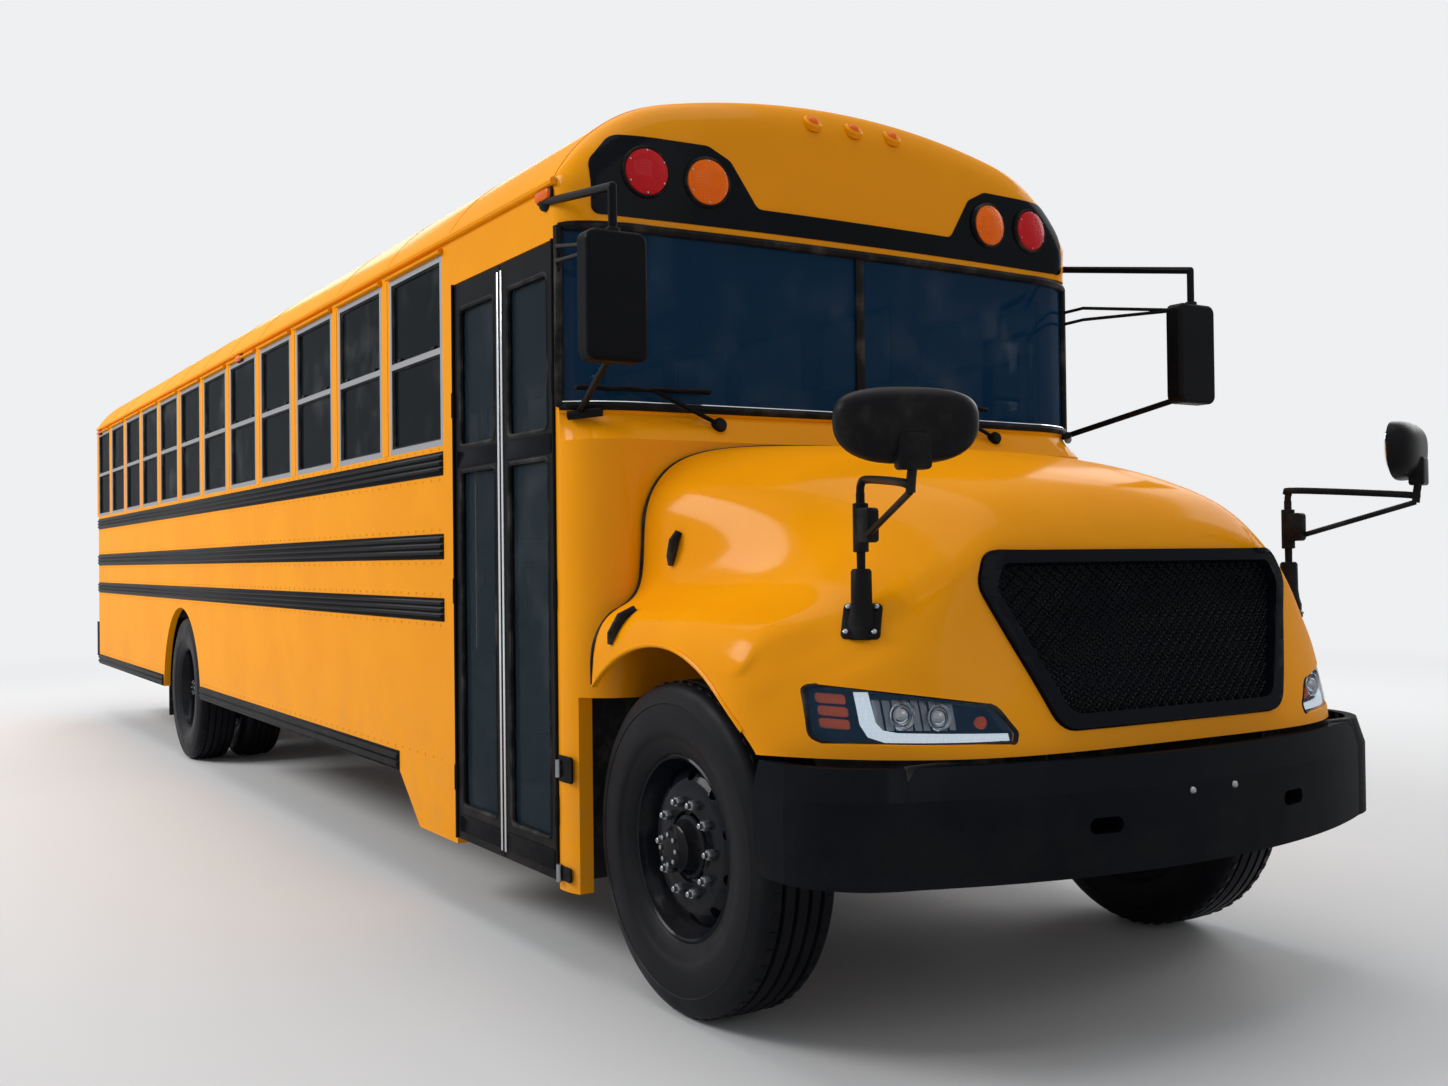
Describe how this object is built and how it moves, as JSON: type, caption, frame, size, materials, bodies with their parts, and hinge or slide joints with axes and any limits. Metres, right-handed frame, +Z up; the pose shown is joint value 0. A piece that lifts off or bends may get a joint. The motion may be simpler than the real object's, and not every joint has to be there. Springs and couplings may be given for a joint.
{
  "type": "school bus",
  "caption": "Long yellow bonneted school bus with side window rows, folding entry door, stop arm, roof hatches and dual rear wheels.",
  "frame": {"origin": "on the ground under the middle of the bus's length, width centre", "axes": "+X forward, +Y to the driver's (left) side, +Z up; the tyres stand on z = 0"},
  "size_m": [12.299, 2.83, 3.205],
  "materials": {
    "body_paint": "gloss",
    "black_paint": "satin",
    "chassis_black": "satin",
    "engine_grey": "matte",
    "exhaust_steel": "matte",
    "wheel_paint": "satin",
    "tyre": "matte",
    "glazing": "clear",
    "frame_aluminium": "satin",
    "lamp_lens": "gloss",
    "headlamp_lens": "gloss",
    "seat_vinyl": "satin",
    "interior_plastic": "matte",
    "floor_rubber": "matte",
    "rubber": "matte",
    "sign_red": "satin",
    "rail_steel": "satin",
    "grille_dark": "satin"
  },
  "bodies": {
    "body": {"chassis_frame": "chassis_black", "engine_block": "engine_grey", "fuel_tank": "chassis_black", "exhaust": "exhaust_steel", "front_axle": "chassis_black", "rear_axle": "chassis_black", "floor": "floor_rubber", "side_wall_left": "body_paint", "side_wall_right": "body_paint", "rub_rails": "black_paint", "window_frames": "frame_aluminium", "window_glass": "glazing", "roof": "body_paint", "front_cap": "body_paint", "rear_wall": "body_paint", "cowl": "body_paint", "windshield": "glazing", "front_bumper": "black_paint", "rear_bumper": "black_paint", "warning_lamps": "lamp_lens", "tail_lamps": "lamp_lens", "side_mirrors": "black_paint", "wipers": "black_paint", "mud_flaps": "rubber", "passenger_seats": "seat_vinyl", "seat_frames": "rail_steel", "driver_seat": "seat_vinyl", "dashboard": "interior_plastic", "grab_rails": "rail_steel"},
    "knuckle_left": {"knuckle_left": "engine_grey"},
    "knuckle_right": {"knuckle_right": "engine_grey"},
    "tie_rod": {"tie_rod": "chassis_black"},
    "wheel_front_left": {"tyre_front_left": "tyre", "rim_front_left": "wheel_paint"},
    "wheel_front_right": {"tyre_front_right": "tyre", "rim_front_right": "wheel_paint"},
    "wheels_rear_left": {"tyres_rear_left": "tyre", "rims_rear_left": "wheel_paint"},
    "wheels_rear_right": {"tyres_rear_right": "tyre", "rims_rear_right": "wheel_paint"},
    "hood": {"hood": "body_paint", "grille": "grille_dark", "headlamps": "headlamp_lens", "hood_mirrors": "black_paint"},
    "service_door_rear": {"service_door_rear": "black_paint", "service_glass_rear": "glazing"},
    "service_door_front": {"service_door_front": "black_paint", "service_glass_front": "glazing"},
    "rear_door": {"rear_door": "body_paint", "rear_door_glass": "glazing"},
    "stop_arm": {"stop_arm": "sign_red"},
    "roof_hatch_front": {"roof_hatch_front": "body_paint"},
    "roof_hatch_rear": {"roof_hatch_rear": "body_paint"},
    "steering_wheel": {"steering_wheel": "interior_plastic"}
  },
  "joints": [
    {"name": "steer_left", "type": "hinge", "parent": "body", "child": "knuckle_left", "pos_m": [5.0245, 0.93, 0.47], "axis": [0, 0, 1], "range_deg": [-40, 40]},
    {"name": "steer_right", "type": "hinge", "parent": "body", "child": "knuckle_right", "pos_m": [5.0245, -0.93, 0.47], "axis": [0, 0, 1], "range_deg": [-40, 40]},
    {"name": "tie_rod_end", "type": "hinge", "parent": "knuckle_left", "child": "tie_rod", "pos_m": [4.8545, 0.93, 0.375], "axis": [0, 0, 1], "range_deg": [-40, 40]},
    {"name": "wheel_front_left_spin", "type": "hinge", "parent": "knuckle_left", "child": "wheel_front_left", "pos_m": [5.0245, 1, 0.52], "axis": [0, 1, 0], "continuous": true},
    {"name": "wheel_front_right_spin", "type": "hinge", "parent": "knuckle_right", "child": "wheel_front_right", "pos_m": [5.0245, -1, 0.52], "axis": [0, 1, 0], "continuous": true},
    {"name": "wheels_rear_left_spin", "type": "hinge", "parent": "body", "child": "wheels_rear_left", "pos_m": [-2.0875, 0.88, 0.52], "axis": [0, 1, 0], "continuous": true},
    {"name": "wheels_rear_right_spin", "type": "hinge", "parent": "body", "child": "wheels_rear_right", "pos_m": [-2.0875, -0.88, 0.52], "axis": [0, 1, 0], "continuous": true},
    {"name": "hood_tilt", "type": "hinge", "parent": "body", "child": "hood", "pos_m": [6.0695, 0, 0.83], "axis": [0, 1, 0], "range_deg": [0, 70]},
    {"name": "service_door_rear_swing", "type": "hinge", "parent": "body", "child": "service_door_rear", "pos_m": [3.4055, -1.21, 1.42], "axis": [0, 0, -1], "range_deg": [0, 90]},
    {"name": "service_door_front_swing", "type": "hinge", "parent": "body", "child": "service_door_front", "pos_m": [4.3535, -1.21, 1.42], "axis": [0, 0, 1], "range_deg": [0, 90]},
    {"name": "rear_door_swing", "type": "hinge", "parent": "body", "child": "rear_door", "pos_m": [-6.0545, -0.454, 1.74], "axis": [0, 0, 1], "range_deg": [0, 100]},
    {"name": "stop_arm_swing", "type": "hinge", "parent": "body", "child": "stop_arm", "pos_m": [3.3495, 1.232, 1.65], "axis": [0, 0, -1], "range_deg": [0, 90]},
    {"name": "hatch_front_lift", "type": "hinge", "parent": "body", "child": "roof_hatch_front", "pos_m": [0.87, 0, 3.18], "axis": [0, -1, 0], "range_deg": [0, 60]},
    {"name": "hatch_rear_lift", "type": "hinge", "parent": "body", "child": "roof_hatch_rear", "pos_m": [-3.73, 0, 3.18], "axis": [0, -1, 0], "range_deg": [0, 60]},
    {"name": "steering_wheel_turn", "type": "hinge", "parent": "body", "child": "steering_wheel", "pos_m": [4.17, 0.52, 1.85], "axis": [-0.5, 0, 0.866], "range_deg": [-720, 720]}
  ],
  "couplings": [
    {"joint": "steer_right", "follows": "steer_left", "ratio": 1},
    {"joint": "tie_rod_end", "follows": "steer_left", "ratio": -1},
    {"joint": "steering_wheel_turn", "follows": "steer_left", "ratio": 18},
    {"joint": "service_door_front_swing", "follows": "service_door_rear_swing", "ratio": 1}
  ]
}
